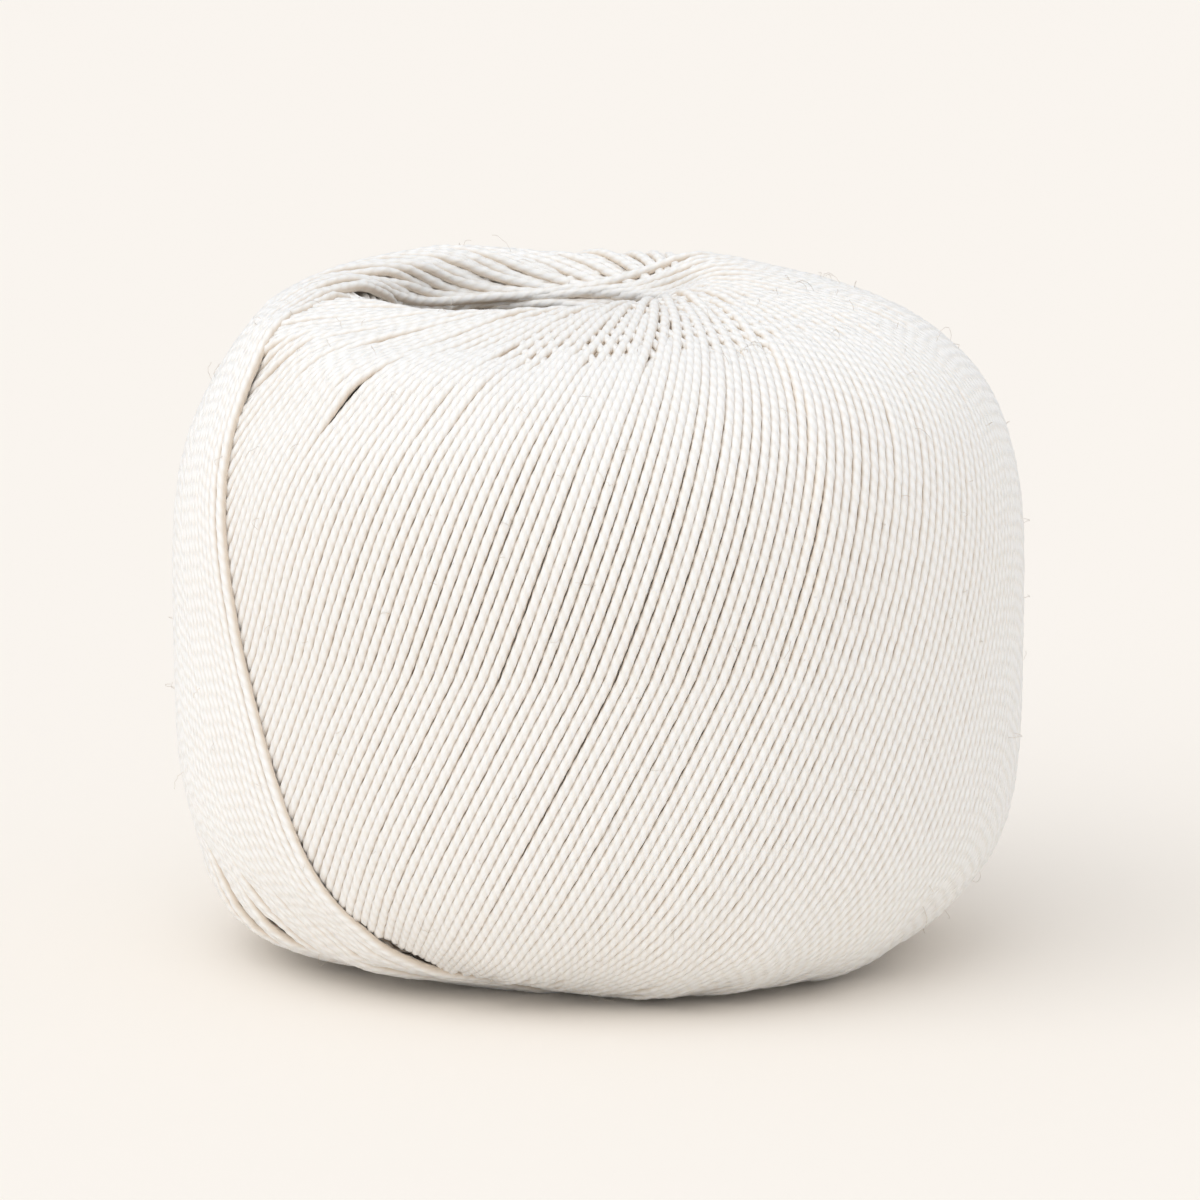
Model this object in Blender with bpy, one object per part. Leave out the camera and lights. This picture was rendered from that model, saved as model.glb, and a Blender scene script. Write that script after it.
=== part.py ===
"""A ball of crochet cotton, wound crosswise over a mandrel that has been drawn out.

One closed solid: a barrel-shaped body with a rounded shoulder, the slanted hole that the
mandrel left, and broad ridges that follow the thread. Metres, +Z up, origin at the middle
of the underside, front towards -Y.
"""

import math

import bmesh
import bpy

MM = 0.001

# Driving dimensions.
WIDEST_RADIUS = 34.1 * MM
WIDEST_LEVEL = 27.6 * MM  # height of the widest circle above the underside
DOME_HEIGHT = 27.7 * MM  # of the upper half, before the hole is taken out of it
BOWL_DEPTH = 28.1 * MM  # of the lower half, before its flat spot is pressed in
DOME_POWER = 3.1  # 2 is an ellipse, and more is a squarer shoulder
BOWL_POWER = 4.0

LIP_RADIUS = 17.5 * MM  # where the top starts to round over into the hole
LIP_DEPTH = 12.0 * MM
LIP_POWER = 2.3
BORE_RADIUS = 8.6 * MM  # at the foot of either lip
WAIST_RADIUS = 8.0 * MM  # half way down the hole
UNDER_LIP_RADIUS = 12.5 * MM
UNDER_LIP_DEPTH = 6.0 * MM
TOP_HOLE = (-5.7 * MM, 1.5 * MM)  # centre of the hole at the top
UNDER_HOLE = (2.0 * MM, 1.0 * MM)  # and on the underside

# The winding. Each loop climbs one side and falls on the other, and the next one lies
# a little further round.
TOP_TURN_RADIUS = 10.5 * MM  # the thread passes this far from the winding's axis
UNDER_TURN_RADIUS = 14.0 * MM
LAST_LOOP = math.radians(123.0)  # where the newest loop climbs, from the front towards +X
RIDGES = 24
RIDGE_HEIGHT = 0.55 * MM
LAYER_STEP = 0.5 * MM  # the newest ridges stand this far above the oldest

# Resolution.
AROUND = 120
BOWL_STEPS = 10
DOME_STEPS = 13
LIP_STEPS = 6
BORE_STEPS = 4


def smooth(low, high, value):
    """0 below low, 1 above high, and an S curve between."""
    t = min(max((value - low) / (high - low), 0.0), 1.0)
    return t * t * (3.0 - 2.0 * t)


def dome(radius):
    """Height of the ball's upper surface above its widest level."""
    t = min(abs(radius) / WIDEST_RADIUS, 1.0)
    return DOME_HEIGHT * (1.0 - t**DOME_POWER) ** (1.0 / DOME_POWER)


def barrel(level):
    """Radius of the ball at a level above or below its widest circle."""
    deep, power = (DOME_HEIGHT, DOME_POWER) if level > 0.0 else (BOWL_DEPTH, BOWL_POWER)
    return WIDEST_RADIUS * (1.0 - min(abs(level) / deep, 1.0) ** power) ** (1.0 / power)


def lip(start, depth, step, steps):
    """A point on the rounding from a level face into the hole: its radius and its drop."""
    angle = math.pi / 2.0 * step / steps
    inward = math.sin(angle) ** (2.0 / LIP_POWER)
    down = 1.0 - math.cos(angle) ** (2.0 / LIP_POWER)
    return start - (start - BORE_RADIUS) * inward, depth * down


def profile():
    """The closed outline of half a section, from the flat spot's edge round to it again."""
    points = []
    foot = math.asin(WIDEST_LEVEL / BOWL_DEPTH)
    for step in range(BOWL_STEPS):
        angle = foot * (1.0 - step / BOWL_STEPS) ** 0.75
        level = -BOWL_DEPTH * math.sin(angle)
        points.append((barrel(level), WIDEST_LEVEL + level))
    reach = math.acos(LIP_RADIUS / WIDEST_RADIUS)
    for step in range(DOME_STEPS):
        radius = WIDEST_RADIUS * math.cos(reach * step / DOME_STEPS)
        points.append((radius, WIDEST_LEVEL + dome(radius)))
    for step in range(LIP_STEPS):
        radius, drop = lip(LIP_RADIUS, LIP_DEPTH, step, LIP_STEPS)
        points.append((radius, WIDEST_LEVEL + dome(radius) - drop))
    top = WIDEST_LEVEL + dome(BORE_RADIUS) - LIP_DEPTH
    for step in range(BORE_STEPS):
        t = step / BORE_STEPS
        narrowing = (BORE_RADIUS - WAIST_RADIUS) * math.sin(math.pi * t)
        points.append((BORE_RADIUS - narrowing, top + (UNDER_LIP_DEPTH - top) * t))
    for step in range(LIP_STEPS, -1, -1):
        radius, drop = lip(UNDER_LIP_RADIUS, UNDER_LIP_DEPTH, step, LIP_STEPS)
        points.append((radius, drop))
    return points


def hole_centre(height):
    """The hole slants: its centre moves from one side to the other on the way down."""
    t = min(max(height / (WIDEST_LEVEL + DOME_HEIGHT), 0.0), 1.0)
    return tuple(low + (high - low) * t for low, high in zip(UNDER_HOLE, TOP_HOLE))


def shift_hole(x, y, z):
    """Slides the hole and the shoulder round it sideways, and keeps the dome's outline."""
    radius = math.hypot(x, y)
    share = 1.0 - smooth(LIP_RADIUS * 0.8, WIDEST_RADIUS * 0.94, radius)
    if z < WIDEST_LEVEL:
        share = float(radius < UNDER_LIP_RADIUS * 1.01)
    dx, dy = hole_centre(z)
    x += dx * share
    y += dy * share
    if z > WIDEST_LEVEL:
        depth = WIDEST_LEVEL + dome(radius) - z
        z += (dome(math.hypot(x, y)) - dome(radius)) * (1.0 - smooth(0.0, LIP_DEPTH, depth))
    return x, y, z


def turned(level):
    """How far round a thread has gone between the widest circle and this level."""
    steps = 24
    total = 0.0
    for step in range(steps):
        middle = level * (step + 0.5) / steps
        radius = barrel(middle)
        across = (barrel(level * (step + 1) / steps) - barrel(level * step / steps)) / (level / steps)
        turn = TOP_TURN_RADIUS if level > 0.0 else UNDER_TURN_RADIUS
        lean = min(turn / radius, 0.98)
        slope = lean / math.sqrt(1.0 - lean * lean)
        total += slope * math.hypot(1.0, across) / radius * level / steps
    return total


def ridge(azimuth, turn):
    """Height of the winding's relief, from 0 in its grooves, where two crossing sets meet."""
    climbing = (LAST_LOOP - azimuth + turn) % math.tau
    falling = (LAST_LOOP - azimuth - turn + math.pi) % math.tau
    age = min(climbing, falling)
    crest = 0.5 + 0.5 * math.cos(RIDGES * age)
    return RIDGE_HEIGHT * crest + LAYER_STEP * (1.0 - age / math.pi)


def relief(x, y, z):
    """Presses the winding's grooves into the body, and leaves the flat spot and the hole."""
    level = z - WIDEST_LEVEL
    radius = math.hypot(x, y)
    fade = smooth(0.6 * MM, 5.0 * MM, z) * smooth(LIP_RADIUS, LIP_RADIUS * 1.3, radius)
    if fade == 0.0:
        return x, y, z
    turn = turned(level) if abs(level) > 1e-6 else 0.0
    azimuth = math.atan2(x, -y)
    inset = (RIDGE_HEIGHT + LAYER_STEP - ridge(azimuth, turn)) * fade
    lean = smooth(0.55 * WIDEST_LEVEL, WIDEST_LEVEL, abs(level))
    scale = 1.0 - inset * (1.0 - 0.6 * lean) / radius
    return x * scale, y * scale, z - math.copysign(inset * lean, level)


def centre_on_origin(body):
    """The relief leaves the box a hair off centre, and this brings it back over the origin."""
    middle = []
    for axis in (0, 1):
        places = [vert.co[axis] for vert in body.verts]
        middle.append((min(places) + max(places)) / 2.0)
    bmesh.ops.translate(body, verts=body.verts, vec=(-middle[0], -middle[1], 0.0))


def cotton():
    """Mercerised cotton: near white, with a soft gloss."""
    material = bpy.data.materials.new("mercerised_cotton")
    material.use_nodes = True
    shader = material.node_tree.nodes["Principled BSDF"]
    shader.inputs["Base Color"].default_value = (0.86, 0.84, 0.80, 1.0)
    shader.inputs["Roughness"].default_value = 0.55
    shader.inputs["Metallic"].default_value = 0.0
    return material


def wound_ball():
    """Turns the outline round, slants the hole, and presses the winding into the outside."""
    body = bmesh.new()
    points = [body.verts.new((radius, 0.0, height)) for radius, height in profile()]
    outline = [body.edges.new(pair) for pair in zip(points, points[1:] + points[:1])]
    bmesh.ops.spin(
        body,
        geom=points + outline,
        axis=(0.0, 0.0, 1.0),
        cent=(0.0, 0.0, 0.0),
        angle=math.tau,
        steps=AROUND,
        use_merge=True,
        use_duplicate=False,
    )
    bmesh.ops.remove_doubles(body, verts=body.verts, dist=1e-6)
    for vert in body.verts:
        vert.co = relief(*shift_hole(*vert.co))
    centre_on_origin(body)
    bmesh.ops.recalc_face_normals(body, faces=body.faces)
    mesh = bpy.data.meshes.new("wound_ball")
    body.to_mesh(mesh)
    body.free()
    mesh.shade_smooth()
    mesh.materials.append(cotton())
    ball = bpy.data.objects.new("wound_ball", mesh)
    bpy.context.scene.collection.objects.link(ball)
    return ball


for leftover in list(bpy.data.objects):
    bpy.data.objects.remove(leftover, do_unlink=True)
wound_ball()
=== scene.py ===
import math

import bmesh
import bpy
import numpy as np
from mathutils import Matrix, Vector


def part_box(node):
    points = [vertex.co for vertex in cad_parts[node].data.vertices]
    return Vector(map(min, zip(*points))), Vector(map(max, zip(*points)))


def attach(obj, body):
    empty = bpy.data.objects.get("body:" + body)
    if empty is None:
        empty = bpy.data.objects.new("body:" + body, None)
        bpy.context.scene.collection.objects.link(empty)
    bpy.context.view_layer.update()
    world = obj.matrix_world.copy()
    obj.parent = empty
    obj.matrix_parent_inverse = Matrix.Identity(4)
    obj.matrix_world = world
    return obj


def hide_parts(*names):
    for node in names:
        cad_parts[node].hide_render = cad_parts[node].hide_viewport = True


# A ball of white crochet cotton, wound across itself in loops that step round the ball.
# The loops are laid one after another, oldest first, and each rests on those below it.
# Only the stretches that show become thread, and one piece stands for the layers beneath.

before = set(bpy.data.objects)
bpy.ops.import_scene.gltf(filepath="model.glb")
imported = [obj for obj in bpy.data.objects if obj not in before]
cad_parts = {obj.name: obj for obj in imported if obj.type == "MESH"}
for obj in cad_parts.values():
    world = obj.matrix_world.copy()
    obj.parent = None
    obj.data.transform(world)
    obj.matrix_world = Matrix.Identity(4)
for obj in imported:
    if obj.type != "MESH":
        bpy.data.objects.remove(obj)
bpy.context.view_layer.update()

MM = 0.001
HALF = math.pi / 2
SEED = 11

# The ball's form, in millimetres.
low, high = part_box("wound_ball")
RADIUS = (high.x - low.x) / 2 / MM + 0.05
LEVEL = (high.z - low.z) / MM * 0.503  # height of the widest circle
DOME = LEVEL * 1.004  # height of the upper half, before the hole is taken out of it
DOME_POWER = 3.1
BOWL = LEVEL * 1.018  # depth of the lower half, before its flat spot is pressed in
BOWL_POWER = 4.0
LIP_RADIUS = 17.5  # where the top starts to round over into the hole
LIP_DEPTH = 12.0
LIP_POWER = 2.3
BORE_RADIUS = 8.6
WAIST_RADIUS = 8.0
FLAT_RADIUS = 17.5
UNDER_LIP_RADIUS = 12.5
UNDER_LIP_DEPTH = 6.0
TOP_HOLE = (-5.7, 1.5)
UNDER_HOLE = (2.0, 1.0)
SHARE_FROM, SHARE_TO = 0.8 * LIP_RADIUS, 0.94 * RADIUS  # the top leans with its hole in here
INSIDE = 0.45  # share of the bore that each half of the outline reaches down
INSIDE_UNDER = 0.55

# The thread, in millimetres.
THREAD_RADIUS = 0.44
PLY_PITCH = 3.4
PLIES = 3
PLY_CREST, PLY_VALLEY = 1.02, 0.93  # shares of the thread's radius
CORNERS = 2 * PLIES
RING_STEP = 0.48
CONTACT = 0.35  # half of what one crossing adds to the height
BEDDED = 1.2 * THREAD_RADIUS  # how far the top layer's middle lies below the form's surface

# The winding.
LOOP_TURN = 1.525  # degrees that each loop lies further round than the one before
LAST_LOOP = 123.0  # where the newest loop climbs, in degrees from the front towards +X
LOOPS = 300
OLD_LOOPS = 60  # of them, those that only show inside the hole
OLD_INWARD = 1.7  # how much nearer the hole's middle the oldest of them turn
TOP_TURN = 10.5  # radius at which the loops turn back at the top
UNDER_TURN = 14.2
WIDEST_TURN = 13.6
TURN_REACH = 26.0  # way up or down in which a loop takes on its own turning radius
SPACING = 0.83  # between two threads that lie side by side
SWING = 6.5  # how far the loops are drawn towards the broad side of the top hole
SWING_FROM = math.radians(-25.0)
TWIST = math.radians(1.5)  # that the lower half lags behind the upper
TWIST_WAYS = (-22.0, 6.0)
WANDER = 0.2
WANDER_WAVES = ((2, 0.10), (5, 0.07), (11, 0.05))  # waves round the ball, and their size
DIVES = ((1, 2, 0.55), (2, 4, 0.28), (4, 8, 0.14))  # first loop, every how many, crowding
DIVE_RANGE = 0.16
DIVE_SPREAD = (0.88, 1.12)
DIVE_LEAN = math.radians(0.45 * LOOP_TURN)

# How a loop settles on the ones below.
LEAST_BEND = 0.012  # a thread beds itself into softer layers, even where the form is flat
CROWDED_BEND = 0.05
MOST_BEND = 1.5
BATCH = 10  # loops between two corrections of the growth
MOST_PRESS = 0.6
CELL = 0.16
COLUMNS = 1440
EMPTY = -9.0
OLD_STEP = 4.0 * CONTACT  # height that the winding gains in one turn round the ball
SWELL = 0.55  # share of the broad swells that is levelled out
SWELL_CELLS = (24, 34)

# What shows.
SHOWING_OVER = 0.08
MARGIN = 4  # rings kept past each end of a stretch that shows
LEAST_RINGS = 11
END_RINGS = 5.0
END_SINK = 0.6
MOST_LIFT = 0.8
MOST_RINGS = 16000  # in one piece

# Stray fibres.
FIBRES = 420
FIBRE_RADIUS = 0.016
FIBRE_REACH = (0.9, 2.6)

# The view, in metres and degrees.
LENS = 225.0
SENSOR = 36.0
CAMERA_RISE = 10.4
CAMERA_DISTANCE = 0.600
TARGET = (0.0001, 0.0, (LEVEL + 0.4) * MM)

random = np.random.default_rng(SEED)


def smooth(lowest, highest, value):
    """0 below lowest, 1 above highest, and an S curve between."""
    t = np.clip((value - lowest) / (highest - lowest), 0.0, 1.0)
    return t * t * (3.0 - 2.0 * t)


def dome(radius):
    t = np.clip(radius / RADIUS, 0.0, 1.0)
    return DOME * (1.0 - t**DOME_POWER) ** (1.0 / DOME_POWER)


def rounding(start, depth, count):
    """Radii and drops down the lip from a level face into the hole."""
    angle = np.linspace(0.0, HALF, count)
    radius = start - (start - BORE_RADIUS) * np.sin(angle) ** (2.0 / LIP_POWER)
    return radius, depth * (1.0 - np.cos(angle) ** (2.0 / LIP_POWER))


THROAT = LEVEL + float(dome(BORE_RADIUS)) - LIP_DEPTH


def bore(share, start, end):
    """A row of the outline inside the hole, this share of the way from start to end."""
    narrowing = (BORE_RADIUS - WAIST_RADIUS) * math.sin(math.pi * share)
    return BORE_RADIUS - narrowing, start + (end - start) * share, 1.0


class Form:
    """The ball's surface, addressed by the way up its outline and by azimuth. The way is 0
    at the widest circle, and azimuth 0 is the front."""

    def __init__(self):
        under = self.under_half()
        rows = under + self.upper_half()
        self.radius, self.height, self.share = np.array(rows).T
        steps = np.hypot(np.diff(self.radius), np.diff(self.height))
        self.way = np.concatenate([[0.0], np.cumsum(steps)])
        self.way -= self.way[len(under)]

    @staticmethod
    def under_half():
        """Rows of radius, height and share of the hole's lean, from inside the hole out."""
        inside = np.linspace(INSIDE_UNDER, 0.0, 40)
        rows = [bore(share, UNDER_LIP_DEPTH, THROAT) for share in inside]
        radius, down = rounding(UNDER_LIP_RADIUS, UNDER_LIP_DEPTH, 60)
        rows += [(r, d, 1.0) for r, d in zip(radius[::-1], down[::-1])]
        for r in np.linspace(UNDER_LIP_RADIUS, FLAT_RADIUS, 30)[1:]:
            rows.append((r, 0.0, 1.0 - (r - UNDER_LIP_RADIUS) / (FLAT_RADIUS - UNDER_LIP_RADIUS)))
        foot = math.asin(LEVEL / BOWL)
        for angle in foot * (1.0 - np.linspace(0.0, 1.0, 200)[1:-1]) ** 0.75:
            level = BOWL * math.sin(angle)
            r = RADIUS * (1.0 - (level / BOWL) ** BOWL_POWER) ** (1.0 / BOWL_POWER)
            rows.append((r, LEVEL - level, 0.0))
        return rows

    @staticmethod
    def upper_half():
        """The same from the widest circle over the lip and down the hole."""
        rows = []
        for angle in np.linspace(0.0, math.acos(LIP_RADIUS / RADIUS), 200)[:-1]:
            r = RADIUS * math.cos(angle)
            share = 1.0 - float(smooth(SHARE_FROM, SHARE_TO, r))
            rows.append((r, LEVEL + float(dome(r)), share))
        radius, down = rounding(LIP_RADIUS, LIP_DEPTH, 120)
        share = 1.0 - smooth(SHARE_FROM, SHARE_TO, radius)
        rows += list(zip(radius, LEVEL + dome(radius) - down, share))
        inside = np.linspace(0.0, INSIDE, 40)[1:]
        return rows + [bore(share, THROAT, UNDER_LIP_DEPTH) for share in inside]

    def radius_at(self, way):
        return np.interp(way, self.way, self.radius)

    def share_at(self, way):
        return np.interp(way, self.way, self.share)

    def point(self, way, azimuth):
        radius = self.radius_at(way)
        z = np.interp(way, self.way, self.height)
        share = self.share_at(way)
        t = np.clip(z / (LEVEL + DOME), 0.0, 1.0)
        lean = [under + (top - under) * t for under, top in zip(UNDER_HOLE, TOP_HOLE)]
        x = radius * np.sin(azimuth) + share * lean[0]
        y = -radius * np.cos(azimuth) + share * lean[1]
        depth = LEVEL + dome(radius) - z
        raised = (dome(np.hypot(x, y)) - dome(radius)) * (1.0 - smooth(0.0, LIP_DEPTH, depth))
        return np.stack([x, y, z + np.where(way > 0.0, raised, 0.0)], axis=-1)

    def normal(self, way, azimuth):
        small = 1e-3
        up = self.point(way + small, azimuth) - self.point(way - small, azimuth)
        across = self.point(way, azimuth + small) - self.point(way, azimuth - small)
        cross = np.cross(across, up)
        return cross / np.linalg.norm(cross, axis=-1, keepdims=True)


form = Form()
QUARTER = np.linspace(0.0, HALF, 721)


def climb(turn, side):
    """Ways up (side 1) or down (side -1) from the widest circle that a thread which turns
    back at this radius has reached, for azimuths of 0 to 90 degrees."""
    reach = form.way * side
    past = reach > 5.0
    order = np.argsort(reach[past])
    ways, radii = reach[past][order], form.radius[past][order]
    inside = np.nonzero(radii < turn)[0][0]
    end = np.interp(-turn, -radii[inside - 1 : inside + 1], ways[inside - 1 : inside + 1])
    # The azimuth grows without limit towards the turn, so the steps shrink with its root.
    root = np.linspace(math.sqrt(end), 0.0, 700)
    middle = (root[1:] + root[:-1]) / 2
    way = end - middle**2
    radius = form.radius_at(way * side)
    held = WIDEST_TURN + (turn - WIDEST_TURN) * smooth(0.0, TURN_REACH, way)
    lean = np.clip(held / radius, 0.0, 1.0 - 1e-9)
    gain = lean / np.sqrt(1.0 - lean**2) / radius * 2.0 * middle * (root[:-1] - root[1:])
    angle = np.concatenate([[0.0], np.cumsum(gain)])
    angle *= HALF / angle[-1]
    return np.interp(QUARTER, angle, end - root**2)


TOP_TURNS = np.linspace(8.7, 13.0, 12)
TOP_TABLE = np.array([climb(turn, 1.0) for turn in TOP_TURNS])
UNDER_TURNS = np.linspace(12.8, 20.8, 17)
UNDER_TABLE = np.array([climb(turn, -1.0) for turn in UNDER_TURNS])


def table_row(table, turns, turn):
    """The row for a turning radius between those in the table."""
    spot = np.clip((turn - turns[0]) / (turns[1] - turns[0]), 0.0, len(turns) - 1.001)
    first = int(spot)
    return table[first] + (table[first + 1] - table[first]) * (spot - first)


def way_along(travelled, top_turn, under_turn):
    """Way up the outline after this much azimuth, -90 degrees at the underside's turn."""
    side = HALF - np.abs((travelled + HALF) % math.tau - math.pi)
    up = np.interp(side, QUARTER, table_row(TOP_TABLE, TOP_TURNS, top_turn))
    down = -np.interp(-side, QUARTER, table_row(UNDER_TABLE, UNDER_TURNS, under_turn))
    return np.where(side >= 0.0, up, down)


def shear_at(way):
    """How far round a loop has gone, in radians, between the widest circle and this way."""
    up = np.interp(way, table_row(TOP_TABLE, TOP_TURNS, TOP_TURN), QUARTER)
    down = np.interp(-way, table_row(UNDER_TABLE, UNDER_TURNS, UNDER_TURN), QUARTER)
    return np.where(way > 0.0, up, -down)


class Terrain:
    """How high the thread already stands, over a grid of way and azimuth."""

    def __init__(self):
        self.first = form.way[0]
        self.rows = int((form.way[-1] - form.way[0]) / CELL) + 2
        self.ways = np.arange(self.rows) * CELL + self.first
        azimuth = (np.arange(COLUMNS) + 0.5) / COLUMNS * math.tau
        shear = shear_at(self.ways)[:, None]
        climbing = (math.radians(LAST_LOOP) - azimuth[None, :] + shear) % math.tau
        falling = (math.radians(LAST_LOOP) - azimuth[None, :] - shear + math.pi) % math.tau
        age = np.minimum(climbing, falling) / math.tau
        self.bare = -OLD_STEP - OLD_STEP * age
        self.height = self.bare.copy()

    def cells(self, way, azimuth):
        row = np.clip(((way - self.first) / CELL).astype(int), 0, self.rows - 1)
        column = (azimuth / math.tau * COLUMNS).astype(int) % COLUMNS
        return row, column

    def read(self, way, azimuth):
        return self.height[self.cells(way, azimuth)]

    def raise_to(self, way, azimuth, height):
        np.maximum.at(self.height, self.cells(way, azimuth), height)


def running_mean(values, reach, mode):
    width = 2 * reach + 1
    return np.convolve(np.pad(values, reach, mode=mode), np.full(width, 1 / width), mode="valid")


def taut(floor, bend, step, rounds=240):
    """The height of a thread pulled tight over a floor on a surface that bends away."""
    height = floor.copy()
    sag = bend * step * step / 2.0
    for _ in range(rounds):
        middle = (np.roll(height, 1) + np.roll(height, -1)) / 2.0 - sag
        np.maximum(floor, middle, out=height)
    return height


def crowding(radius, turn):
    """Share of its own width that each thread has where the loops close up round a hole."""
    lean = np.clip(turn / radius, 0.0, 0.995)
    spacing = math.tau * radius * np.sqrt(1.0 - lean**2) * LOOP_TURN / 360.0
    return np.clip(spacing / SPACING, 0.10, 1.0)


def swing(way):
    """How far, in radians, the loops are drawn towards the broad side of the top hole."""
    share = form.share_at(way) * (way > 0.0)
    return SWING * share / np.maximum(form.radius_at(way), 13.0)


def crowd_at(way, azimuth):
    radius = form.radius_at(way)
    crowd = np.where(way > 0.0, crowding(radius, TOP_TURN), crowding(radius, UNDER_TURN))
    return np.clip(crowd * (1.0 - swing(way) * np.sin(azimuth - SWING_FROM)), 0.1, 1.0)


def sideways(way, azimuth, direction, distance):
    """The place this far to the side of a path."""
    radius = form.radius_at(way)
    return way - distance * direction[1], azimuth + distance * direction[0] / radius


def dive_limits():
    """For each loop, how crowded it must be before the loop slips under its neighbours."""
    ranks = np.zeros(LOOPS)
    for first, every, crowd in DIVES:
        ranks[first::every] = crowd
    return np.where(ranks > 0.0, ranks * random.uniform(*DIVE_SPREAD, LOOPS), 0.0)


def diving(crowd, limit):
    """0 where a loop lies on top, and 1 where it has slipped under its neighbours."""
    if limit == 0.0:
        return 0.0 * crowd
    return 1.0 - smooth(limit, limit + DIVE_RANGE, crowd)


def planned_path(start, top_turn, under_turn, limit):
    """Way and azimuth of one loop, from its turn at the underside right round to it again."""
    travelled = np.linspace(-HALF, HALF * 3, 1441)
    phases = random.uniform(0.0, math.tau, 3)
    waves = zip(WANDER_WAVES, phases)
    wander = sum(size * np.sin(count * travelled + phase) for (count, size), phase in waves)
    stepped = start + LOOP_TURN * (travelled + HALF) / math.tau
    azimuth = np.radians(stepped) + travelled
    way = way_along(travelled, top_turn, under_turn)
    azimuth = azimuth + WANDER * wander / np.maximum(form.radius_at(way), 12.0)
    azimuth = azimuth + swing(way) * np.cos(azimuth - SWING_FROM)
    azimuth = azimuth + TWIST * (smooth(*TWIST_WAYS, way) - 1.0)
    return way, azimuth + DIVE_LEAN * diving(crowd_at(way, azimuth), limit)


def evenly(way, azimuth):
    """The same path in even steps, with the length run at each and the whole length."""
    path = form.point(way, azimuth)
    steps = np.linalg.norm(np.diff(path, axis=0), axis=1)
    run = np.concatenate([[0.0], np.cumsum(steps)])
    count = int(run[-1] / RING_STEP)
    even = np.linspace(0.0, run[-1], count + 1)[:-1]
    return np.interp(even, run, way), np.interp(even, run, azimuth), even, run[-1]


def settle(terrain, way, azimuth, step, press, limit):
    """Direction, height and crowding of a loop pulled tight over what lies below it."""
    path = form.point(way, azimuth)
    normal = form.normal(way, azimuth)
    crowd = crowd_at(way, azimuth)
    bend = np.zeros(len(way))
    second = path[2:] - 2 * path[1:-1] + path[:-2]
    bend[1:-1] = -(second * normal[1:-1]).sum(1) / step**2
    bend = np.clip(bend, LEAST_BEND + CROWDED_BEND * (1.0 - crowd), MOST_BEND)
    along = np.stack([np.gradient(azimuth) * form.radius_at(way), np.gradient(way)])
    along /= np.linalg.norm(along, axis=0)
    floor = np.full(len(way), EMPTY)
    for distance in np.linspace(-0.32, 0.32, 5):
        rest = math.sqrt(CONTACT**2 - distance**2)
        place = sideways(way, azimuth, along, distance)
        floor = np.maximum(floor, terrain.read(*place) + rest)
    floor -= (1.0 - crowd) * 0.6 * CONTACT + np.interp(way, terrain.ways, press)
    floor -= 1.6 * CONTACT * diving(crowd, limit)
    floor += (running_mean(floor, 4, "wrap") - floor) * (0.35 + 0.5 * (1.0 - crowd))
    return along, taut(floor, bend, step), crowd


def lay(terrain, way, azimuth, along, height, laid):
    """Adds a loop to the terrain, except where it has slipped under."""
    whole = np.arange(len(way))
    fine = np.arange(0, len(way) - 1, 1 / 4)
    fine = fine[laid[np.round(fine).astype(int)]]
    way, azimuth, height, across, up = (
        np.interp(fine, whole, values) for values in (way, azimuth, height, *along)
    )
    for distance in np.linspace(-0.4, 0.4, 9):
        rise = math.sqrt(max(CONTACT**2 - distance**2, 0.0)) - max(abs(distance) - CONTACT, 0.0)
        terrain.raise_to(*sideways(way, azimuth, (across, up), distance), height + rise)


def wind():
    """Lays the loops one after another, oldest first. Returns them and the terrain."""
    terrain = Terrain()
    loops = []
    length = drift = slow = 0.0
    press = np.zeros(terrain.rows)
    before = terrain.height.mean(1)
    limits = dive_limits()
    for number, limit in enumerate(limits):
        left = LOOPS - 1 - number
        drift = 0.5 * drift + random.normal(0.0, 0.02)
        slow = 0.93 * slow + random.normal(0.0, 0.025)
        old = max(0.0, (left - (LOOPS - OLD_LOOPS)) / OLD_LOOPS)
        top_turn = TOP_TURN + slow + random.normal(0.0, 0.012) - OLD_INWARD * old
        under_turn = UNDER_TURN + slow + random.normal(0.0, 0.012)
        start = LAST_LOOP - LOOP_TURN * left + drift * LOOP_TURN * 0.5
        way, azimuth, even, whole = evenly(*planned_path(start, top_turn, under_turn, limit))
        along, height, crowd = settle(terrain, way, azimuth, even[1], press, limit)
        lay(terrain, way, azimuth, along, height, crowd > limit)
        loops.append({
            "way": way,
            "azimuth": azimuth,
            "height": height,
            "length": length + even,
            "along": along,
            "laid": crowd > limit - 0.03,
        })
        length += whole
        if number % BATCH == BATCH - 1:
            # Rows that grow too fast, where the loops crowd, are pressed into the layers below.
            grown = terrain.height.mean(1) - before
            excess = grown - OLD_STEP * BATCH * LOOP_TURN / 360.0
            press = np.clip(press + np.where(grown > 1e-3, excess, 0.0), 0.0, MOST_PRESS)
            press = running_mean(press, 8, "edge")
            before = terrain.height.mean(1)
    return loops, terrain


def blurred(grid, rows, columns):
    """A moving average over this many rows and columns each way, joined round the ball."""
    padded = np.pad(grid, ((rows, rows), (0, 0)), mode="edge")
    padded = np.concatenate([padded[:, -columns:], padded, padded[:, :columns]], axis=1)
    for axis, width in ((0, 2 * rows + 1), (1, 2 * columns + 1)):
        total = np.cumsum(padded, axis=axis)
        total = np.concatenate([np.zeros_like(total.take([0], axis)), total], axis=axis)
        count = total.shape[axis]
        ends = total.take(range(width, count), axis)
        padded = (ends - total.take(range(0, count - width), axis)) / width
    return padded


def lowest(grid, reach):
    """The lowest neighbour within this many cells each way."""
    for axis in (0, 1):
        least = grid.copy()
        for shift in range(1, reach + 1):
            sides = np.minimum(np.roll(grid, shift, axis), np.roll(grid, -shift, axis))
            least = np.minimum(least, sides)
        grid = least
    return grid


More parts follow.
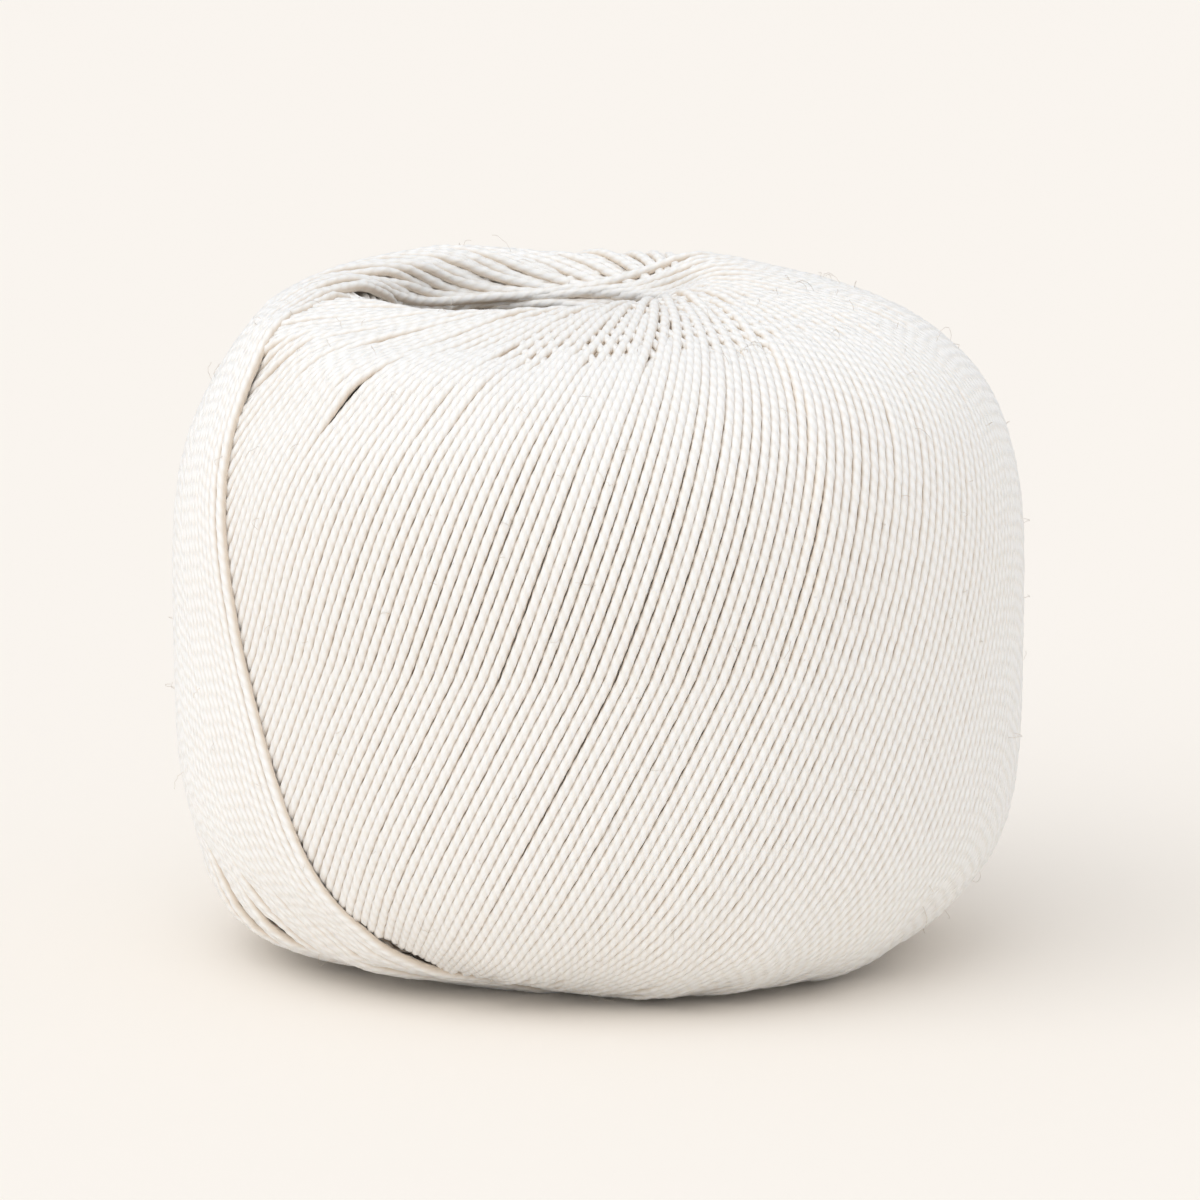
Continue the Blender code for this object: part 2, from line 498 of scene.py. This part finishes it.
def settled(terrain):
    """What the heights are measured from: the broad swells of the winding count for less."""
    held = (terrain.height > terrain.bare + 0.2).astype(float)
    top = terrain.height * held
    rows, columns = SWELL_CELLS
    round_ball = COLUMNS // 2 - 1
    means = blurred(top, rows, round_ball) / np.maximum(blurred(held, rows, round_ball), 1e-3)
    near, share = (blurred(blurred(v, rows, columns), rows, columns) for v in (top, held))
    return (1.0 - SWELL) * means + SWELL * near / np.maximum(share, 1e-3)


def showing(loop, terrain):
    """Which points of a loop aren't buried under later ones."""
    bare = np.zeros(len(loop["way"]))
    for distance in (-0.3, -0.15, 0.0, 0.15, 0.3):
        place = sideways(loop["way"], loop["azimuth"], loop["along"], distance)
        top = loop["height"] + math.sqrt(CONTACT**2 - distance**2)
        bare += terrain.read(*place) < top + SHOWING_OVER
    return (bare >= 2) & loop["laid"]


def runs(mask):
    """Start and end of each stretch that shows, with a margin at both ends."""
    grown = mask.copy()
    for shift in range(1, MARGIN + 1):
        grown[shift:] |= mask[:-shift]
        grown[:-shift] |= mask[shift:]
    edges = np.flatnonzero(np.diff(np.concatenate([[0], grown.astype(int), [0]])))
    return [(a, b) for a, b in zip(edges[::2], edges[1::2]) if b - a >= LEAST_RINGS]


def stretches_of(loops, terrain, base):
    """Points, ply angle and outward directions of every stretch of thread that shows. Each
    end sinks into the layers below."""
    found = []
    for loop in loops:
        way, azimuth = loop["way"], loop["azimuth"]
        lift = np.minimum(loop["height"] - base[terrain.cells(way, azimuth)] - BEDDED, MOST_LIFT)
        normal = form.normal(way, azimuth)
        surface = form.point(way, azimuth)
        tilt = -loop["length"] / PLY_PITCH * math.tau
        for start, end in runs(showing(loop, terrain)):
            spot = np.arange(end - start)
            inward = np.minimum(spot, spot[::-1])
            sunk = END_SINK * (1.0 - smooth(0.0, END_RINGS, inward)) * (end - start < len(way))
            out = normal[start:end]
            place = surface[start:end] + out * (lift[start:end] - sunk)[:, None]
            place[:, 2] = np.maximum(place[:, 2], THREAD_RADIUS)
            found.append((place, tilt[start:end], out))
    return found


def ply_outline():
    """A cross-section of three plies laid together, as a closed curve."""
    curve = bpy.data.curves.new("plies", "CURVE")
    curve.dimensions = "2D"
    spline = curve.splines.new("POLY")
    spline.points.add(CORNERS - 1)
    for corner, point in enumerate(spline.points):
        angle = math.tau * corner / CORNERS
        reach = THREAD_RADIUS * (PLY_VALLEY if corner % 2 else PLY_CREST) * MM
        point.co = (reach * math.cos(angle), reach * math.sin(angle), 0.0, 1.0)
    spline.use_cyclic_u = True
    return bpy.data.objects.new("plies", curve)


def add_line(curve, points):
    """Adds a line through these points to a curve, and returns it."""
    spline = curve.splines.new("POLY")
    spline.points.add(len(points) - 1)
    spline.points.foreach_set("co", np.column_stack([points * MM, np.ones(len(points))]).ravel())
    return spline


def mesh_of(curve, material):
    """The curve's tubes as a mesh of the same name."""
    holder = bpy.data.objects.new(curve.name + "_path", curve)
    bpy.context.scene.collection.objects.link(holder)
    graph = bpy.context.evaluated_depsgraph_get()
    mesh = bpy.data.meshes.new_from_object(holder.evaluated_get(graph))
    bpy.data.objects.remove(holder)
    mesh.name = curve.name
    mesh.materials.clear()
    mesh.materials.append(material)
    return mesh


def add_piece(mesh):
    piece = bpy.data.objects.new(mesh.name, mesh)
    bpy.context.scene.collection.objects.link(piece)
    return piece


def mark_crown(mesh, stretches):
    """Stores how far each point of the tubes faces outwards, from -1 beneath to 1 on top.
    The caps' points come first, and they lie buried."""
    middle = np.repeat(np.concatenate([points for points, _, _ in stretches]), CORNERS, axis=0)
    out = np.repeat(np.concatenate([normal for _, _, normal in stretches]), CORNERS, axis=0)
    place = np.empty(len(mesh.vertices) * 3)
    mesh.vertices.foreach_get("co", place)
    place = place.reshape(-1, 3)[-len(middle) :] / MM
    # The cotton paints warm shade on the thread where this is low.
    crown = np.full(len(mesh.vertices), -1.0)
    crown[-len(middle) :] = ((place - middle) * out).sum(1) / THREAD_RADIUS
    mesh.attributes.new("crown", "FLOAT", "POINT").data.foreach_set("value", crown)


def thread_piece(name, stretches, outline, material):
    """One mesh of many stretches of thread, each a three-ply tube with closed ends."""
    curve = bpy.data.curves.new(name, "CURVE")
    curve.dimensions = "3D"
    curve.twist_mode = "MINIMUM"
    curve.bevel_mode = "OBJECT"
    curve.bevel_object = outline
    curve.use_fill_caps = True
    for points, tilt, _ in stretches:
        add_line(curve, points).points.foreach_set("tilt", tilt)
    mesh = mesh_of(curve, material)
    mark_crown(mesh, stretches)
    return add_piece(mesh)


def thread_pieces(stretches, material):
    """The stretches shared out over pieces of a size that the export takes."""
    outline = ply_outline()
    bundles, size = [[]], 0
    for stretch in stretches:
        rings = len(stretch[0])
        if size + rings > MOST_RINGS:
            bundles.append([])
            size = 0
        bundles[-1].append(stretch)
        size += rings
    return [
        thread_piece(f"thread_{number}", bundle, outline, material)
        for number, bundle in enumerate(bundles, 1)
    ]


def under_layers(terrain, base, material):
    """The layers beneath, which show only in the gaps and down the hole. The body is the
    form's outline spun round, let down to just below the thread."""
    body = bmesh.new()
    ways = np.linspace(form.way[0], form.way[-1], 150)
    outline = np.stack([form.radius_at(ways), np.interp(ways, form.way, form.height)], axis=1)
    verts = [body.verts.new((radius * MM, 0.0, z * MM)) for radius, z in outline]
    edges = [body.edges.new(pair) for pair in zip(verts, verts[1:] + verts[:1])]
    bmesh.ops.spin(
        body,
        geom=verts + edges,
        axis=(0, 0, 1),
        cent=(0, 0, 0),
        angle=math.tau,
        steps=180,
        use_merge=True,
        use_duplicate=False,
    )
    bmesh.ops.remove_doubles(body, verts=body.verts, dist=1e-6)
    place = np.array([vert.co[:] for vert in body.verts]) / MM
    azimuth = np.arctan2(place[:, 0], -place[:, 1])
    spot = np.stack([np.hypot(place[:, 0], place[:, 1]), place[:, 2]], axis=1)
    gap = ((spot[:, None] - outline[None]) ** 2).sum(2)
    way = ways[np.argmin(gap, axis=1)]
    floor = blurred(lowest(terrain.height, 5), 3, 3) - base - CONTACT - BEDDED - 0.08
    sink = np.clip(floor[terrain.cells(way, azimuth)], -1.5, -0.5)
    place = form.point(way, azimuth) + form.normal(way, azimuth) * sink[:, None]
    place[:, 2] = np.maximum(place[:, 2], 0.1)
    for vert, where in zip(body.verts, place):
        vert.co = where * MM
    bmesh.ops.recalc_face_normals(body, faces=body.faces)
    mesh = bpy.data.meshes.new("under_layers")
    body.to_mesh(mesh)
    body.free()
    loops = np.degrees(azimuth + shear_at(way)) / LOOP_TURN
    mesh.attributes.new("loops", "FLOAT", "POINT").data.foreach_set("value", loops)
    mesh.shade_smooth()
    mesh.materials.append(material)
    return add_piece(mesh)


def normal_near(place):
    """The form's outward direction nearest to a point."""
    azimuth = math.atan2(place[0], -place[1])
    gap = np.hypot(form.radius - np.hypot(place[0], place[1]), form.height - place[2])
    return form.normal(form.way[int(np.argmin(gap))], azimuth)


def stray_fibres(stretches, material):
    """Short fibres that stand off the thread, as one mesh."""
    curve = bpy.data.curves.new("stray_fibres", "CURVE")
    curve.dimensions = "3D"
    curve.bevel_depth = FIBRE_RADIUS * MM
    curve.bevel_resolution = 0
    curve.use_fill_caps = True
    t = np.linspace(0.0, 1.0, 7)[:, None]
    for _ in range(FIBRES):
        points = stretches[random.integers(len(stretches))][0]
        spot = random.integers(6, len(points) - 6) if len(points) > 14 else 5
        start = points[spot]
        out = normal_near(start)
        along = points[spot + 1] - points[spot - 1]
        along /= np.linalg.norm(along)
        side = np.cross(out, along)
        lean, reach = random.normal(0.0, 1.0, 2), random.uniform(*FIBRE_REACH)
        path = start + out * (0.3 + reach * 0.42 * np.sin(t * random.uniform(1.4, 2.9)))
        path = path + (along * lean[0] + side * lean[1]) * reach * 0.4 * t**1.3
        path = path + random.normal(0.0, 0.04, path.shape)
        path[:, 2] = np.maximum(path[:, 2], 0.05)
        add_line(curve, path)
    return add_piece(mesh_of(curve, material))


def linear(code):
    """An sRGB hex colour as linear RGBA."""
    parts = [int(code[i : i + 2], 16) / 255 for i in (0, 2, 4)]
    parts = [p / 12.92 if p <= 0.04045 else ((p + 0.055) / 1.055) ** 2.4 for p in parts]
    return (*parts, 1.0)


def fill(tree, socket, value):
    """Links a socket to another node's output, or gives it a value."""
    if isinstance(value, bpy.types.NodeSocket):
        tree.links.new(value, socket)
    else:
        socket.default_value = value


def node(tree, kind, settings=None, inputs=None):
    """Adds a node with its settings, and fills its inputs, which go by name or number."""
    made = tree.nodes.new("ShaderNode" + kind)
    for key, value in (settings or {}).items():
        setattr(made, key, value)
    for key, value in (inputs or {}).items():
        fill(tree, made.inputs[key], value)
    return made


def new_material(name, inputs):
    """A material with these inputs of its shader filled. Returns it, its tree and shader."""
    material = bpy.data.materials.new(name)
    material.use_nodes = True
    tree = material.node_tree
    shader = tree.nodes["Principled BSDF"]
    for key, value in inputs.items():
        fill(tree, shader.inputs[key], value)
    return material, tree, shader


# The inputs of a colour Mix node.
COLOUR = {"data_type": "RGBA"}
MIX_A, MIX_B, MIXED = 6, 7, 2


def cotton_material():
    """Mercerised cotton: silky white plies that light passes into a little, with a soft
    sheen, painted warm shade low between two threads, and faint painted shade between the plies."""
    material, tree, shader = new_material("mercerised_cotton", {
        "Roughness": 0.40,
        "Sheen Weight": 0.2,
        "Sheen Roughness": 0.4,
        "IOR": 1.53,
        "Subsurface Weight": 0.15,
        "Subsurface Radius": (1.0, 0.9, 0.8),
        "Subsurface Scale": 0.3 * MM,
    })
    place = node(tree, "TexCoord").outputs["Object"]
    fibre = node(tree, "TexNoise", None, {"Vector": place, "Scale": 1 / (0.30 * MM), "Detail": 3.0})
    patch = node(tree, "TexNoise", None, {"Vector": place, "Scale": 1 / (9 * MM), "Detail": 2.0})
    tone = node(tree, "Mix", COLOUR, {
        "Factor": patch.outputs["Fac"],
        MIX_A: linear("FDFCFA"),
        MIX_B: linear("FAF8F5"),
    }).outputs[MIXED]
    # The plies run along the tube, so a wave round it has a crest on each.
    flat = node(tree, "UVMap", {"uv_map": "UVMap"}).outputs[0]
    around = node(tree, "SeparateXYZ", None, {"Vector": flat}).outputs["Y"]
    angle = node(tree, "Math", {"operation": "MULTIPLY"}, {0: around, 1: PLIES * math.tau})
    wave = node(tree, "Math", {"operation": "COSINE"}, {0: angle.outputs[0]}).outputs[0]
    ply = node(tree, "MapRange", None, {"Value": wave, "From Min": -1.0, "From Max": 0.2}).outputs[0]
    # Painted shade: the colour is a touch darker in the grooves between the plies, where shade would
    # fall.
    painted_groove_shade = node(tree, "Mix", COLOUR, {
        "Factor": ply,
        MIX_A: linear("FAF8F5"),
        MIX_B: linear("FFFFFF"),
    }).outputs[MIXED]
    multiply = {"data_type": "RGBA", "blend_type": "MULTIPLY"}
    shade = node(tree, "Mix", multiply, {"Factor": 1.0, MIX_A: tone, MIX_B: painted_groove_shade})
    # Painted shade: the thread turns warm and darker where its surface faces down between threads.
    crown = node(tree, "Attribute", {"attribute_name": "crown"}).outputs["Fac"]
    in_air = {"Value": crown, "From Min": 0.05, "From Max": 0.75}
    painted_gap_shade = node(tree, "Mix", COLOUR, {
        "Factor": node(tree, "MapRange", None, in_air).outputs[0],
        MIX_A: linear("E6D9C9"),
        MIX_B: shade.outputs[MIXED],
    })
    fill(tree, shader.inputs["Base Color"], painted_gap_shade.outputs[MIXED])
    plies = node(tree, "Bump", None, {"Strength": 0.7, "Distance": 0.04 * MM, "Height": ply})
    bump = node(tree, "Bump", None, {
        "Strength": 0.35,
        "Distance": 0.04 * MM,
        "Height": fibre.outputs["Fac"],
        "Normal": plies.outputs[0],
    })
    fill(tree, shader.inputs["Normal"], bump.outputs[0])
    return material


def beneath_material():
    """The same cotton lower down: dull, with one soft ridge for each loop. Its warm, darker colour
    is painted shade for the gaps, darkest between the ridges.
    """
    material, tree, shader = new_material("cotton_beneath", {"Roughness": 0.8})
    loops = node(tree, "Attribute", {"attribute_name": "loops"}).outputs["Fac"]
    angle = node(tree, "Math", {"operation": "MULTIPLY"}, {0: loops, 1: math.tau})
    wave = node(tree, "Math", {"operation": "SINE"}, {0: angle.outputs[0]}).outputs[0]
    raised = node(tree, "MapRange", None, {"Value": wave, "From Min": -1.0}).outputs[0]
    # Painted shade: warm and dark in the valleys between the ridges, lighter on them, and darker
    # overall than the thread above.
    tone = node(tree, "Mix", COLOUR, {
        "Factor": raised,
        MIX_A: linear("E4D3BF"),
        MIX_B: linear("F5EDE2"),
    })
    fill(tree, shader.inputs["Base Color"], tone.outputs[MIXED])
    bump = node(tree, "Bump", None, {"Strength": 1.0, "Distance": 0.3 * MM, "Height": raised})
    fill(tree, shader.inputs["Normal"], bump.outputs[0])
    return material


def paper_material():
    """Matt cream paper, which warms the light that it throws back under the ball."""
    return new_material("seamless_paper", {"Base Color": linear("F9F3EB"), "Roughness": 0.9})[0]


def aim(thing, target):
    way = Vector(target) - thing.location
    thing.rotation_euler = way.to_track_quat("-Z", "Y").to_euler()


def add_floor():
    body = bmesh.new()
    bmesh.ops.create_grid(body, x_segments=1, y_segments=1, size=3.0)
    mesh = bpy.data.meshes.new("floor")
    body.to_mesh(mesh)
    body.free()
    mesh.materials.append(paper_material())
    floor = add_piece(mesh)


def add_light():
    """Even, slightly cool light from all round, and one broad soft light from the upper left."""
    world = bpy.data.worlds.new("studio")
    bpy.context.scene.world = world
    world.use_nodes = True
    background = world.node_tree.nodes["Background"]
    background.inputs["Color"].default_value = linear("FCFDFF")
    background.inputs["Strength"].default_value = 0.80
    light = bpy.data.lights.new("key", "SUN")
    light.angle = math.radians(70.0)
    light.energy = 0.95
    lamp = bpy.data.objects.new("key", light)
    lamp.location = (-0.45, -0.50, 0.85)
    bpy.context.scene.collection.objects.link(lamp)
    aim(lamp, (0, 0, 0))


def add_camera():
    lens = bpy.data.cameras.new("camera")
    lens.lens = LENS
    lens.sensor_width = SENSOR
    camera = bpy.data.objects.new("camera", lens)
    rise = math.radians(CAMERA_RISE)
    offset = Vector((0.0, -math.cos(rise), math.sin(rise))) * CAMERA_DISTANCE
    camera.location = Vector(TARGET) + offset
    bpy.context.scene.collection.objects.link(camera)
    aim(camera, TARGET)
    bpy.context.scene.camera = camera


loops, terrain = wind()
base = settled(terrain)
stretches = stretches_of(loops, terrain, base)
cotton = cotton_material()
threads = thread_pieces(stretches, cotton)
core = under_layers(terrain, base, beneath_material())
fibres = stray_fibres(stretches, cotton)
for piece in [fibres] + threads + [core]:
    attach(piece, "root")
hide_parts("wound_ball")

add_floor()
add_light()
add_camera()
bpy.context.scene.view_settings.view_transform = "Standard"
